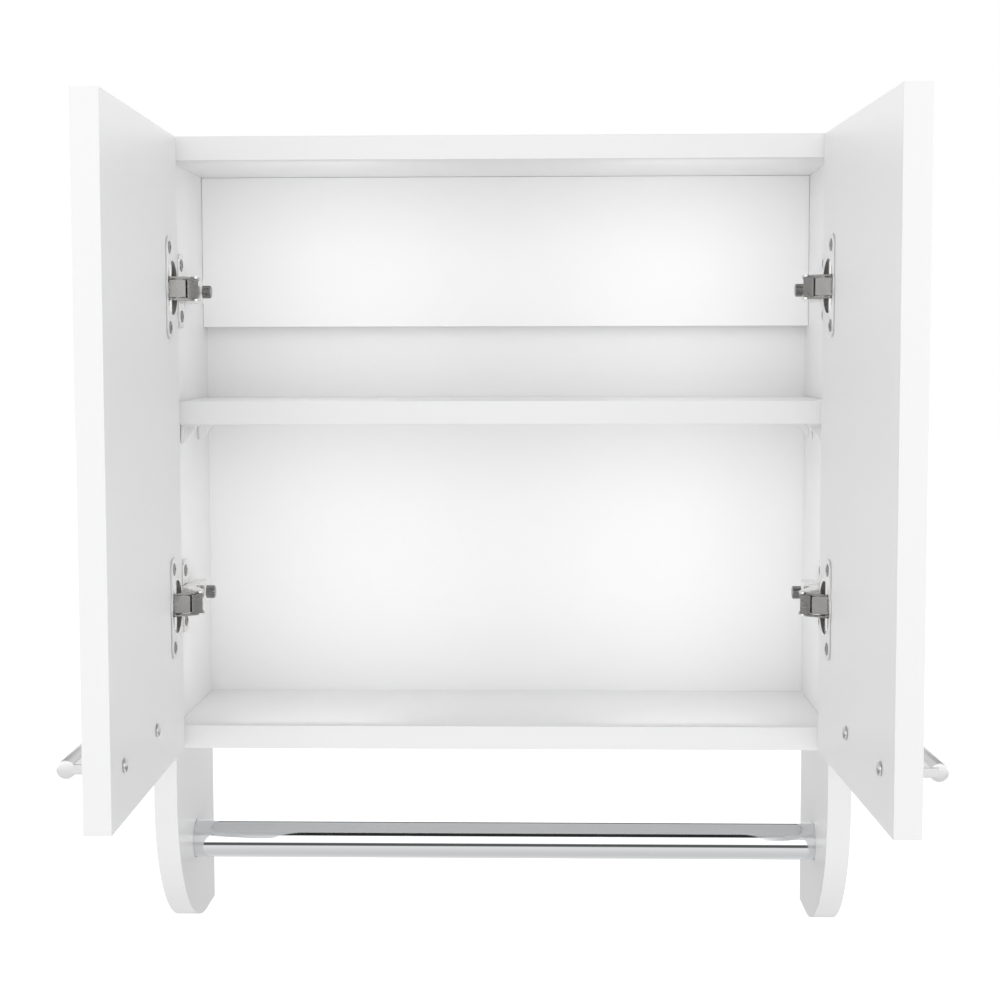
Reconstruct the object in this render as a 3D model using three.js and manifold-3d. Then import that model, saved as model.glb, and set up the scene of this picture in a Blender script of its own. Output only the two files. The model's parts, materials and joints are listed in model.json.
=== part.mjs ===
// Hanging wall cabinet: two overlay doors on concealed hinges, one shelf, and a towel bar between the legs.
// Millimetres. +X is to the right when facing the cabinet, +Y goes into the wall, +Z is up.
// The origin is the middle of the box's rear face, where it rests on the wall.
import * as THREE from 'three';
import { ConvexGeometry } from 'three/addons/geometries/ConvexGeometry.js';
import { mergeVertices } from 'three/addons/utils/BufferGeometryUtils.js';
import Module from 'manifold-3d';

const wasm = await Module();
wasm.setup();

// ---------- driving dimensions ----------

// Carcass
const outerWidth = 450;
const boxHeight = 391;
const sideDepth = 130;
const legDrop = 135;           // how far the legs run on below the box
const legRadius = 100;         // rounded front corner of each leg
const board = 15;              // thickness of the carcass boards
const backThickness = 3;
const backInset = 1;           // back panel's edges, in from the box's outline
const railHeight = 103;
const seam = 0.1;              // gap where two boards meet

// Shelf and its supports
const shelfBoard = 15;
const shelfDrop = 167;         // top of the box down to the shelf's top face
const shelfSetback = 5;
const shelfEndPlay = 0.8;
const supportSetbacks = { front: 33, rear: 93 };
const supportWidth = 9;
const supportReach = 11;
const supportHeight = 13;
const supportWall = 2;
const supportWeb = 2.4;
const pinRadius = 2.5;
const pinLength = 8;
const restGap = 0.2;           // a part that rests on or against its neighbour

// Towel bar
const barRadius = 12.5;
const barWall = 1.2;
const barDrop = 76;            // bottom of the box down to the bar's axis
const barSetback = 65;         // front of the legs back to the bar's axis
const barSocketDepth = 10;
const barEndPlay = 0.5;
const barClearance = 0.3;

// Doors
const doorThickness = 15;
const doorReveal = 1;          // door's edge, in from the side panel's outer face
const doorMeeting = 2;         // gap between the two doors when they are shut
const doorHeightPlay = 1;      // door's top and bottom edge, in from the box's
const doorGap = 2;             // inner face of a shut door to the front of the carcass
const openAngle = { left: 88.7, right: 92 };

// Handles: a round bar on two flat legs
const handleLength = 118;
const handleHoles = 96;
const handleRadius = 5.2;
const handleStandoff = 14;     // door's outer face to the bar's axis
const handleLegThickness = 5.6;
const handleEdge = 34;         // outer screw to the door's free edge
const handleRise = 30.5;       // screws above the door's bottom edge
const handleScrewRadius = 2;
const handleScrewHead = 4;
const handleScrewHeadHeight = 2;
const handleScrewBite = 9;     // thread's length inside the handle

// Carcass screws and hanger plates
const screwHeadRadius = 4.8;
const screwShankRadius = 3.4;
const screwLength = 48;
const screwEdge = 32;          // screws in from the front and rear edge of the boards
const screwClearance = 0.2;
const hangerSpacing = 330;
const hangerSize = { width: 44, height: 18, thickness: 2 };
const hangerKeyRadius = 4.5;
const hangerSlotRadius = 2.4;
const hangerBelowTop = 45;

// Concealed hinges. Their (u, v) plane is seen from above: u runs inwards from the side panel's inner
// face and v runs back from its front edge, with the door shut.
const hingeFromEdge = 96;      // hinge's middle, in from the top and the bottom of the box
const cupRadius = 17.5;
const cupDepth = 12;
const cupWall = 0.8;
const cupInset = 22.5;         // cup's middle, in from the door's hinge edge
const flange = { length: 62.5, width: 16, offset: 9.5, thickness: 0.8, corner: 6 };
const cupNotch = 6.6;          // half width of the gap in the cup's rim that the links fold through
const armPivotOuter = [18.4, -9.64];
const armPivotInner = [15.33, -5.33];
const cupPivotOuter = [1.4, -4.06];
const cupPivotInner = [-2.56, -7.43];
const outerLinkKnee = [13.42, -9.5];
const innerLinkKnee = [4.73, -10.78];
const outerLinkRatio = 0.655;  // turn of each link per turn of the door, the other way round
const innerLinkRatio = 0.438;
const fullOpening = 100;       // degrees
const layers = {               // distances from the hinge's middle, up and down
  eye: 3.8,                    // inner link where it folds into the cup
  innerLink: 5.6,
  neck: [4.8, 6],              // outer link between the arm's cheeks
  outerLink: [6.2, 7.4],
  cheek: [6.4, 7.6],
};
const linkPin = 1.2;
const slotPin = 1;             // the cup's pin that rides in the inner link's slot
const slotRim = 0.6;
const pinClearance = 0.2;
const bossWidth = 1.3;         // metal round a pin hole
const linkHalfWidth = 1.4;
const armBody = { low: 3, high: 11.2, from: 10, to: 56, web: 1.2 };
const plateWing = { half: 24, from: 20.5, to: 35.5, thickness: 2.4 };
const plateSpine = { half: 6, from: 12, to: 52, height: 8 };

// ---------- derived places ----------

const half = outerWidth / 2;
const innerHalf = half - board;
const top = boxHeight / 2;
const bottom = -top;
const legBottom = bottom - legDrop;
const backFace = -backThickness;
const front = backFace - sideDepth;
const doorEdge = doorReveal - board;
const doorWidth = half - doorReveal - doorMeeting / 2;
const doorTop = top - doorHeightPlay;
const doorBottom = bottom + doorHeightPlay;
const doorInner = front - doorGap;
const doorOuter = doorInner - doorThickness;
const shelfTop = top - shelfDrop;
const shelfUnder = shelfTop - shelfBoard;
const barHeight = bottom - barDrop;
const barPlace = front + barSetback;
const handleHeight = doorBottom + handleRise;
const handleLine = doorOuter - handleStandoff;
const sides = [
  { name: 'left', sign: -1 },
  { name: 'right', sign: 1 },
];
const hingeHeights = { upper: top - hingeFromEdge, lower: bottom + hingeFromEdge };

// ---------- materials ----------

function material(color, roughness, metalness = 0) {
  return new THREE.MeshStandardMaterial({ color, roughness, metalness });
}

const laminate = material(0xf2f2f0, 0.45);
const hardboard = material(0xececea, 0.55);
const chrome = material(0xdfe1e3, 0.08, 1);
const nickel = material(0xb9b7b2, 0.3, 1);
const zinc = material(0xc4c6c8, 0.35, 1);
const satinSilver = material(0xd0d1d2, 0.4, 1);
const whitePlastic = material(0xf0f0ee, 0.4);

// ---------- solids ----------

const xAxis = new THREE.Vector3(1, 0, 0);
const yAxis = new THREE.Vector3(0, 1, 0);
const zAxis = new THREE.Vector3(0, 0, 1);

// Each plane's two drawing axes, then the axis that it is extruded along.
const planes = {
  x: new THREE.Matrix4().makeBasis(yAxis, zAxis, xAxis),
  y: new THREE.Matrix4().makeBasis(zAxis, xAxis, yAxis),
  z: new THREE.Matrix4(),
};

function solidOf(geometry) {
  geometry.deleteAttribute('normal');
  geometry.deleteAttribute('uv');
  const merged = mergeVertices(geometry, 1e-4);
  const vertProperties = merged.attributes.position.array;
  const triVerts = Uint32Array.from(merged.index.array);
  return new wasm.Manifold(new wasm.Mesh({ numProp: 3, vertProperties, triVerts }));
}

function geometryOf(solid) {
  const mesh = solid.getMesh();
  const geometry = new THREE.BufferGeometry();
  geometry.setAttribute('position', new THREE.BufferAttribute(mesh.vertProperties, 3));
  geometry.setIndex(new THREE.BufferAttribute(mesh.triVerts, 1));
  geometry.computeVertexNormals();
  return geometry;
}

function join(solids) {
  return solids.reduce((whole, solid) => whole.add(solid));
}

function cut(solid, tools) {
  return tools.reduce((rest, tool) => rest.subtract(tool), solid);
}

function sorted(a, b) {
  return [Math.min(a, b), Math.max(a, b)];
}

function block([x0, x1], [y0, y1], [z0, z1]) {
  const geometry = new THREE.BoxGeometry(x1 - x0, y1 - y0, z1 - z0);
  geometry.translate((x0 + x1) / 2, (y0 + y1) / 2, (z0 + z1) / 2);
  return solidOf(geometry);
}

function prism(axis, shape, [from, to], curveSegments = 6) {
  const settings = { depth: to - from, bevelEnabled: false, curveSegments };
  const geometry = new THREE.ExtrudeGeometry(shape, settings);
  geometry.translate(0, 0, from);
  geometry.applyMatrix4(planes[axis]);
  return solidOf(geometry);
}

function outline(points) {
  return new THREE.Shape(points.map(([a, b]) => new THREE.Vector2(a, b)));
}

function disc([a, b], radius) {
  return new THREE.Shape().absarc(a, b, radius, 0, 2 * Math.PI);
}

function rod(axis, centre, radius, span, segments = 6) {
  return prism(axis, disc(centre, radius), span, segments);
}

// A straight bar with round ends, in one drawing plane.
function capsule([a0, b0], [a1, b1], radius) {
  const turn = Math.atan2(b1 - b0, a1 - a0);
  const shape = new THREE.Shape();
  shape.absarc(a1, b1, radius, turn - Math.PI / 2, turn + Math.PI / 2);
  shape.absarc(a0, b0, radius, turn + Math.PI / 2, turn + 1.5 * Math.PI);
  return shape;
}

function roundedRectangle([a, b], width, height, radius) {
  const right = a + width / 2 - radius;
  const left = a - width / 2 + radius;
  const high = b + height / 2 - radius;
  const low = b - height / 2 + radius;
  const shape = new THREE.Shape();
  shape.absarc(right, high, radius, 0, Math.PI / 2);
  shape.absarc(left, high, radius, Math.PI / 2, Math.PI);
  shape.absarc(left, low, radius, Math.PI, 1.5 * Math.PI);
  shape.absarc(right, low, radius, 1.5 * Math.PI, 2 * Math.PI);
  return shape;
}

// A turned piece along X, its profile given as [radius, distance] from the head inwards.
function turned(profile, sign, place, segments = 14) {
  const points = profile.map(([radius, distance]) => new THREE.Vector2(radius, distance));
  const geometry = new THREE.LatheGeometry(points, segments);
  geometry.rotateZ(sign * Math.PI / 2);
  geometry.translate(...place);
  return solidOf(geometry);
}

function part(name, solid, surface) {
  const mesh = new THREE.Mesh(geometryOf(solid), surface);
  mesh.name = name;
  return mesh;
}

// ---------- carcass ----------

function carcassScrewProfile(play) {
  const tip = screwLength + (play > 0 ? 1 : 0);
  return [
    [0, -play],
    [screwHeadRadius + play, -play],
    [screwHeadRadius + play, 1],
    [screwShankRadius + play, 4],
    [screwShankRadius + play, tip - 4],
    [1 + play, tip],
    [0, tip],
  ];
}

function carcassScrewPlaces() {
  const places = [];
  for (const [level, z] of [['top', top - board / 2], ['bottom', bottom + board / 2]]) {
    places.push({ name: `${level}_front`, y: front + screwEdge, z });
    places.push({ name: `${level}_rear`, y: backFace - screwEdge, z });
  }
  return places;
}

function carcassScrewSolid(sign, { y, z }, play) {
  const head = sign * (half - restGap);
  return turned(carcassScrewProfile(play), sign, [head, y, z]);
}

function supportPin(sign, setback, play) {
  const height = shelfUnder - restGap - supportHeight / 2;
  const span = sorted(sign * (innerHalf - supportWall), sign * (innerHalf + pinLength + play));
  return rod('x', [front + setback, height], pinRadius + play, span);
}

function sidePanel(sign) {
  const shape = new THREE.Shape();
  shape.moveTo(backFace, top);
  shape.lineTo(front, top);
  shape.lineTo(front, legBottom + legRadius);
  shape.absarc(front + legRadius, legBottom + legRadius, legRadius, Math.PI, 1.5 * Math.PI);
  shape.lineTo(backFace, legBottom);
  const panel = prism('x', shape, sorted(sign * innerHalf, sign * half), 16);
  const socketSpan = sorted(sign * (innerHalf - 1), sign * (innerHalf + barSocketDepth));
  const holes = [rod('x', [barPlace, barHeight], barRadius + barClearance, socketSpan, 20)];
  for (const place of carcassScrewPlaces()) {
    holes.push(carcassScrewSolid(sign, place, screwClearance));
  }
  for (const setback of Object.values(supportSetbacks)) {
    holes.push(supportPin(sign, setback, pinClearance));
  }
  return cut(panel, holes);
}

function crossPanel(level, low) {
  const reach = innerHalf - seam;
  const panel = block([-reach, reach], [front, backFace], [low, low + board]);
  const places = carcassScrewPlaces().filter(({ name }) => name.startsWith(level));
  const holes = sides.flatMap(({ sign }) => {
    return places.map((place) => carcassScrewSolid(sign, place, screwClearance));
  });
  return cut(panel, holes);
}

function hangerOutline(x, grow) {
  const width = hangerSize.width + 2 * grow;
  const height = hangerSize.height + 2 * grow;
  return roundedRectangle([top - hangerBelowTop, x], height, width, 3);
}

function backPanel() {
  const reach = half - backInset;
  const panel = block([-reach, reach], [backFace + seam, 0], [bottom + backInset, top - backInset]);
  const windows = sides.map(({ sign }) => {
    return prism('y', hangerOutline(sign * hangerSpacing / 2, 0.5), [backFace - 1, 1], 3);
  });
  return cut(panel, windows);
}

function hangingRail() {
  const reach = innerHalf - seam;
  const high = top - board - seam;
  const low = top - board - railHeight;
  const rail = block([-reach, reach], [backFace - board, backFace], [low, high]);
  const pocketHalf = hangerKeyRadius + 1.5;
  const middle = top - hangerBelowTop;
  const pockets = sides.map(({ sign }) => {
    const x = sign * hangerSpacing / 2;
    const height = [middle - pocketHalf - 2, middle + pocketHalf];
    return block([x - pocketHalf, x + pocketHalf], [backFace - 7, backFace + 1], height);
  });
  return cut(rail, pockets);
}

function hangerPlate(x) {
  const middle = top - hangerBelowTop;
  const span = [backFace + restGap, backFace + restGap + hangerSize.thickness];
  const through = [span[0] - 1, span[1] + 1];
  const plate = prism('y', hangerOutline(x, 0), span, 3);
  const keyhole = [
    rod('y', [middle - 3, x], hangerKeyRadius, through, 10),
    prism('y', capsule([middle - 3, x], [middle + 5, x], hangerSlotRadius), through, 4),
  ];
  const holes = [-1, 1].map((way) => rod('y', [middle, x + way * hangerSize.width * 0.36], 2, through));
  return cut(plate, [...keyhole, ...holes]);
}

function shelf() {
  const reach = innerHalf - shelfEndPlay;
  return block([-reach, reach], [front + shelfSetback, backFace - restGap], [shelfUnder, shelfTop]);
}

function shelfSupport(sign, setback) {
  const y = front + setback;
  const high = shelfUnder - restGap;
  const low = high - supportHeight;
  const wall = sign * (innerHalf - restGap);
  const face = sign * (innerHalf - restGap - supportWall);
  const tip = sign * (innerHalf - supportReach);
  const width = [y - supportWidth / 2, y + supportWidth / 2];
  const web = [y - supportWeb / 2, y + supportWeb / 2];
  const gusset = outline([[high - 1, wall], [high - 1, tip], [low, face], [low, wall]]);
  return join([
    block(sorted(wall, face), width, [low, high]),
    block(sorted(wall, tip), width, [high - supportWall, high]),
    prism('y', gusset, web),
    supportPin(sign, setback, 0),
  ]);
}

function towelBar() {
  const reach = innerHalf + barSocketDepth - barEndPlay;
  const outside = rod('x', [barPlace, barHeight], barRadius, [-reach, reach], 18);
  const inside = rod('x', [barPlace, barHeight], barRadius - barWall, [-reach - 1, reach + 1], 18);
  return outside.subtract(inside);
}

// ---------- hinges, drawn with the door shut ----------

function onPlan(sign, [u, v]) {
  return [sign * (innerHalf - u), front + v];
}

function turnedBy([u, v], [pivotU, pivotV], angle) {
  const du = u - pivotU;
  const dv = v - pivotV;
  return [
    pivotU + Math.cos(angle) * du - Math.sin(angle) * dv,
    pivotV + Math.sin(angle) * du + Math.cos(angle) * dv,
  ];
}

function both(sign, shapes, [from, to], height) {
  const layers = [[height - to, height - from], [height + from, height + to]];
  return join(shapes.flatMap((shape) => layers.map((span) => prism('z', shape, span, 4))));
}

function chain(sign, points, radius) {
  const places = points.map((point) => onPlan(sign, point));
  return places.slice(1).map((place, index) => capsule(places[index], place, radius));
}

function pinHole(sign, point, radius, reach, height) {
  return rod('z', onPlan(sign, point), radius + pinClearance, [height - reach, height + reach]);
}

// Where the cup's slot pin lies in the inner link, drawn shut, as the door opens all the way.
function slotPath() {
  const steps = 10;
  return Array.from({ length: steps + 1 }, (_, index) => {
    const opening = THREE.MathUtils.degToRad(fullOpening * index / steps);
    const cup = turnedBy(cupPivotOuter, armPivotOuter, outerLinkRatio * opening);
    const carried = cupPivotInner.map((value, i) => value - cupPivotOuter[i] + cup[i]);
    const pin = turnedBy(carried, cup, -opening);
    return turnedBy(pin, armPivotInner, -innerLinkRatio * opening);
  });
}

function slotSolid(sign, radius, [from, to]) {
  const rim = slotPath().flatMap((point) => disc(onPlan(sign, point), radius).getPoints(6));
  const corners = rim.flatMap(({ x, y }) => [new THREE.Vector3(x, y, from), new THREE.Vector3(x, y, to)]);
  return solidOf(new ConvexGeometry(corners));
}

function hingeCup(sign, height) {
  const place = [height, onPlan(sign, [doorEdge + cupInset, 0])[0]];
  const wing = [height, onPlan(sign, [doorEdge + cupInset + flange.offset, 0])[0]];
  const rim = [doorInner + restGap, doorInner + restGap + flange.thickness];
  const floor = doorInner - cupDepth;
  const shell = join([
    rod('y', place, cupRadius, [floor, rim[1]], 16),
    rod('y', place, cupRadius + 1.5, rim, 16),
    prism('y', roundedRectangle(wing, flange.length, flange.width, flange.corner), rim, 4),
  ]);
  const pocket = rod('y', place, cupRadius - cupWall, [floor + cupWall, rim[1] + 1], 16);
  const stub = [layers.outerLink[0] - pinClearance, cupRadius - cupWall];
  const pins = join([
    both(sign, [disc(onPlan(sign, cupPivotOuter), linkPin)], stub, height),
    rod('z', onPlan(sign, cupPivotInner), slotPin, [height - stub[1], height + stub[1]]),
  ]);
  const pocketPins = pins.intersect(rod('y', place, cupRadius - cupWall / 2, [floor, rim[1]], 16));
  const hingeSide = doorEdge + cupInset - cupRadius;
  const notchWidth = sorted(onPlan(sign, [hingeSide - 2, 0])[0], onPlan(sign, [hingeSide + 3, 0])[0]);
  const notchHeight = [height - cupNotch, height + cupNotch];
  const notch = block(notchWidth, [rim[0] - 0.1, rim[1] + 1], notchHeight);
  return join([cut(shell, [pocket, notch]), pocketPins]);
}

function hingeArm(sign, height) {
  const { low, high, from, to, web } = armBody;
  const neck = [
    [high, from + 6],
    [armPivotOuter[0] + linkPin + bossWidth, armPivotInner[1]],
    [armPivotInner[0] - linkPin - bossWidth, armPivotInner[1]],
    [low, from],
    [low, to],
    [high, to],
  ];
  const boss = capsule(onPlan(sign, armPivotOuter), onPlan(sign, armPivotInner), linkPin + bossWidth);
  const cheek = outline(neck.map((point) => onPlan(sign, point)));
  const cheeks = both(sign, [boss, cheek], layers.cheek, height);
  const roofSpan = sorted(sign * (innerHalf - high), sign * (innerHalf - high + web));
  const reach = [height - layers.cheek[1], height + layers.cheek[1]];
  const roof = block(roofSpan, [front + from + 6, front + to], reach);
  const pin = rod('z', onPlan(sign, armPivotInner), linkPin, reach);
  return cut(join([cheeks, roof, pin]), [pinHole(sign, armPivotOuter, linkPin, 9, height)]);
}

function mountingPlate(sign, height) {
  const wall = sign * (innerHalf - restGap);
  const wing = sorted(wall, sign * (innerHalf - plateWing.thickness));
  const spine = sorted(wall, sign * (innerHalf - plateSpine.height));
  const wingShape = roundedRectangle(
    [front + (plateWing.from + plateWing.to) / 2, height],
    plateWing.to - plateWing.from,
    2 * plateWing.half,
    5,
  );
  const spineHeight = [height - plateSpine.half, height + plateSpine.half];
  return join([
    prism('x', wingShape, wing, 4),
    block(spine, [front + plateSpine.from, front + plateSpine.to], spineHeight),
  ]);
}

function outerLink(sign, height) {
  const between = (share) => armPivotOuter.map((value, i) => value + share * (outerLinkKnee[i] - value));
  const neck = chain(sign, [armPivotOuter, outerLinkKnee], linkHalfWidth);
  const armBoss = disc(onPlan(sign, armPivotOuter), linkPin + bossWidth);
  const arms = chain(sign, [outerLinkKnee, cupPivotOuter], linkHalfWidth);
  const cupBoss = disc(onPlan(sign, cupPivotOuter), linkPin + pinClearance + 0.9);
  const crosspieces = [
    [[0.2, 0.8], layers.neck[1]],
    [[0.85, 0.95], layers.outerLink[1]],
  ].map(([[from, to], reach]) => {
    const shape = capsule(onPlan(sign, between(from)), onPlan(sign, between(to)), 0.7);
    return prism('z', shape, [height - reach, height + reach], 3);
  });
  const pinReach = [height - layers.cheek[1], height + layers.cheek[1]];
  const pin = rod('z', onPlan(sign, armPivotOuter), linkPin, pinReach);
  const plates = [
    both(sign, [...neck, armBoss], layers.neck, height),
    both(sign, [...arms, cupBoss], layers.outerLink, height),
  ];
  return cut(join([...plates, ...crosspieces, pin]), [pinHole(sign, cupPivotOuter, linkPin, 9, height)]);
}

function innerLink(sign, height) {
  const span = [height - layers.innerLink, height + layers.innerLink];
  const eyeSpan = [height - layers.eye, height + layers.eye];
  const slot = slotPath();
  const middle = [0, 1].map((i) => slot.reduce((sum, point) => sum + point[i], 0) / slot.length);
  const route = chain(sign, [armPivotInner, innerLinkKnee, middle], linkHalfWidth);
  const boss = disc(onPlan(sign, armPivotInner), linkPin + bossWidth);
  const body = [...route, boss].map((shape) => prism('z', shape, span, 4));
  const eye = slotSolid(sign, slotPin + pinClearance + slotRim, eyeSpan);
  return cut(join([...body, eye]), [
    pinHole(sign, armPivotInner, linkPin, 9, height),
    slotSolid(sign, slotPin + pinClearance, [height - 9, height + 9]),
  ]);
}

// ---------- doors, drawn shut ----------

function handleScrewPlaces(sign) {
  const outer = doorEdge + doorWidth - handleEdge;
  return { outer, inner: outer - handleHoles };
}

function handleScrewBore(sign, u, play) {
  const [x] = onPlan(sign, [u, 0]);
  const span = [doorOuter - handleScrewBite - play, doorInner + 1];
  return rod('y', [handleHeight, x], handleScrewRadius + play, span);
}

function door(sign) {
  const edges = [doorEdge, doorEdge + doorWidth].map((u) => onPlan(sign, [u, 0])[0]);
  const leaf = block(sorted(...edges), [doorOuter, doorInner], [doorBottom, doorTop]);
  const [cupX] = onPlan(sign, [doorEdge + cupInset, 0]);
  const bores = Object.values(hingeHeights).map((height) => {
    const span = [doorInner - cupDepth - pinClearance, doorInner + 1];
    return rod('y', [height, cupX], cupRadius + restGap, span, 16);
  });
  const holes = Object.values(handleScrewPlaces(sign)).map((u) => handleScrewBore(sign, u, 0.3));
  return cut(leaf, [...bores, ...holes]);
}

function handle(sign) {
  const places = handleScrewPlaces(sign);
  const middle = (places.outer + places.inner) / 2;
  const ends = [middle - handleLength / 2, middle + handleLength / 2].map((u) => onPlan(sign, [u, 0])[0]);
  const legHalf = (handleLength - handleHoles) / 2;
  const legs = Object.values(places).map((u) => {
    const span = sorted(onPlan(sign, [u - legHalf, 0])[0], onPlan(sign, [u + legHalf, 0])[0]);
    const thick = [handleHeight - handleLegThickness / 2, handleHeight + handleLegThickness / 2];
    return block(span, [handleLine, doorOuter - restGap], thick);
  });
  const bar = rod('x', [handleLine, handleHeight], handleRadius, sorted(...ends), 14);
  const bores = Object.values(places).map((u) => handleScrewBore(sign, u, 0.3));
  return cut(join([bar, ...legs]), bores);
}

function handleScrew(sign, u) {
  const [x] = onPlan(sign, [u, 0]);
  const seat = doorInner + restGap;
  const shank = rod('y', [handleHeight, x], handleScrewRadius, [doorOuter - handleScrewBite, seat + 0.5]);
  const head = rod('y', [handleHeight, x], handleScrewHead, [seat, seat + handleScrewHeadHeight * 0.6], 8);
  const crown = rod('y', [handleHeight, x], handleScrewHead * 0.75, [seat, seat + handleScrewHeadHeight], 8);
  return join([shank, head, crown]);
}

// ---------- poses ----------

// A group that carries what is drawn shut to where it is once `from` has moved to `to` and turned.
function posed(sign, from, to, angle, meshes) {
  const group = new THREE.Group();
  const turn = -sign * angle;
  const start = new THREE.Vector3(...onPlan(sign, from), 0).applyAxisAngle(zAxis, turn);
  group.rotation.z = turn;
  group.position.set(...onPlan(sign, to), 0).sub(start);
  group.add(...meshes);
  return group;
}

// ---------- assembly ----------

function carcass() {
  const meshes = [
    part('top_panel', crossPanel('top', top - board), laminate),
    part('bottom_panel', crossPanel('bottom', bottom), laminate),
    part('back_panel', backPanel(), hardboard),
    part('hanging_rail', hangingRail(), laminate),
    part('shelf', shelf(), laminate),
    part('towel_bar', towelBar(), chrome),
  ];
  for (const { name, sign } of sides) {
    meshes.push(part(`${name}_side_panel`, sidePanel(sign), laminate));
    meshes.push(part(`${name}_hanger_plate`, hangerPlate(sign * hangerSpacing / 2), zinc));
    for (const [row, setback] of Object.entries(supportSetbacks)) {
      meshes.push(part(`${name}_${row}_shelf_support`, shelfSupport(sign, setback), whitePlastic));
    }
    for (const place of carcassScrewPlaces()) {
      meshes.push(part(`${name}_${place.name}_screw`, carcassScrewSolid(sign, place, 0), zinc));
    }
    for (const [level, height] of Object.entries(hingeHeights)) {
      meshes.push(part(`${name}_${level}_hinge_plate`, mountingPlate(sign, height), nickel));
      meshes.push(part(`${name}_${level}_hinge_arm`, hingeArm(sign, height), nickel));
    }
  }
  return meshes;
}

function doorSet({ name, sign }) {
  const open = THREE.MathUtils.degToRad(openAngle[name]);
  const outerTurn = outerLinkRatio * open;
  const innerTurn = innerLinkRatio * open;
  const levels = Object.entries(hingeHeights);
  const leafMeshes = [
    part(`${name}_door`, door(sign), laminate),
    part(`${name}_handle`, handle(sign), satinSilver),
    ...levels.map(([level, height]) => part(`${name}_${level}_hinge_cup`, hingeCup(sign, height), nickel)),
  ];
  for (const [place, u] of Object.entries(handleScrewPlaces(sign))) {
    leafMeshes.push(part(`${name}_handle_${place}_screw`, handleScrew(sign, u), zinc));
  }
  const outerMeshes = levels.map(([level, height]) => {
    return part(`${name}_${level}_outer_link`, outerLink(sign, height), nickel);
  });
  const innerMeshes = levels.map(([level, height]) => {
    return part(`${name}_${level}_inner_link`, innerLink(sign, height), nickel);
  });
  const cupPlace = turnedBy(cupPivotOuter, armPivotOuter, outerTurn);
  return [
    posed(sign, armPivotOuter, armPivotOuter, outerTurn, outerMeshes),
    posed(sign, armPivotInner, armPivotInner, innerTurn, innerMeshes),
    posed(sign, cupPivotOuter, cupPlace, -open, leafMeshes),
  ];
}

const cabinet = new THREE.Group();
cabinet.add(...carcass());
sides.forEach((side) => cabinet.add(...doorSet(side)));

export default cabinet;
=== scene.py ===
import json
import math

import bmesh
import bpy
from mathutils import Matrix, Vector

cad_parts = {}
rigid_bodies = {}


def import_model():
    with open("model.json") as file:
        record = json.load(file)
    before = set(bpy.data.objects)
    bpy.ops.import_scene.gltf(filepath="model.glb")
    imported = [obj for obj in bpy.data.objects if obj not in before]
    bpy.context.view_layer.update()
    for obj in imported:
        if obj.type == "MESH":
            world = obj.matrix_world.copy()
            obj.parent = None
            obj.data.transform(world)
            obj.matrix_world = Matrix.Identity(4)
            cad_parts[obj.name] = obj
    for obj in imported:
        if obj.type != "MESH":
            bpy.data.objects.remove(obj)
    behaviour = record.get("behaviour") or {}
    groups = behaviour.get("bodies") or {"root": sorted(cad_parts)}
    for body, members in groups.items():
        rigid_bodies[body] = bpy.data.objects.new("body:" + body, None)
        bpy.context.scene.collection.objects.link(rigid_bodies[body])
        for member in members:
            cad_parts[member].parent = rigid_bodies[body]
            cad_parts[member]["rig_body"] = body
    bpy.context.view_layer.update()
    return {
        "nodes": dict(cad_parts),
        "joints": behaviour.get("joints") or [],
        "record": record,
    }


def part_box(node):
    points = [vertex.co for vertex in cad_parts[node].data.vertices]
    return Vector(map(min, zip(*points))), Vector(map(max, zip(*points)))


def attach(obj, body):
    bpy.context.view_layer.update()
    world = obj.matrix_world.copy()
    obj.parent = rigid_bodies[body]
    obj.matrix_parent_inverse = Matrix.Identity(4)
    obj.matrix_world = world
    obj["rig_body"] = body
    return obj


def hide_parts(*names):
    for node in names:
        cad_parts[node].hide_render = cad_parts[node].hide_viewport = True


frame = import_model()
record = frame["record"]
nodes = frame["nodes"]
sides = {"left": -1, "right": 1}
levels = ("upper", "lower")
print("frame loaded:", len(nodes), "nodes")


class Wire:
    # one output socket, so that node maths reads as ordinary sums
    def __init__(self, graph, socket):
        self.graph, self.socket = graph, socket

    def math(self, operation, first, second):
        return self.graph.add("ShaderNodeMath", {"operation": operation}, {0: first, 1: second})

    def __add__(self, other):
        return self.math("ADD", self, other)

    def __radd__(self, other):
        return self.math("ADD", other, self)

    def __mul__(self, other):
        return self.math("MULTIPLY", self, other)

    def __rmul__(self, other):
        return self.math("MULTIPLY", other, self)

    def above(self, edge, softness):
        # 0 below the edge, 1 above it, with a soft step between
        settings = {"interpolation_type": "SMOOTHSTEP"}
        return self.graph.add("ShaderNodeMapRange", settings, {
            "Value": self, "From Min": edge - softness, "From Max": edge + softness})


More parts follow.
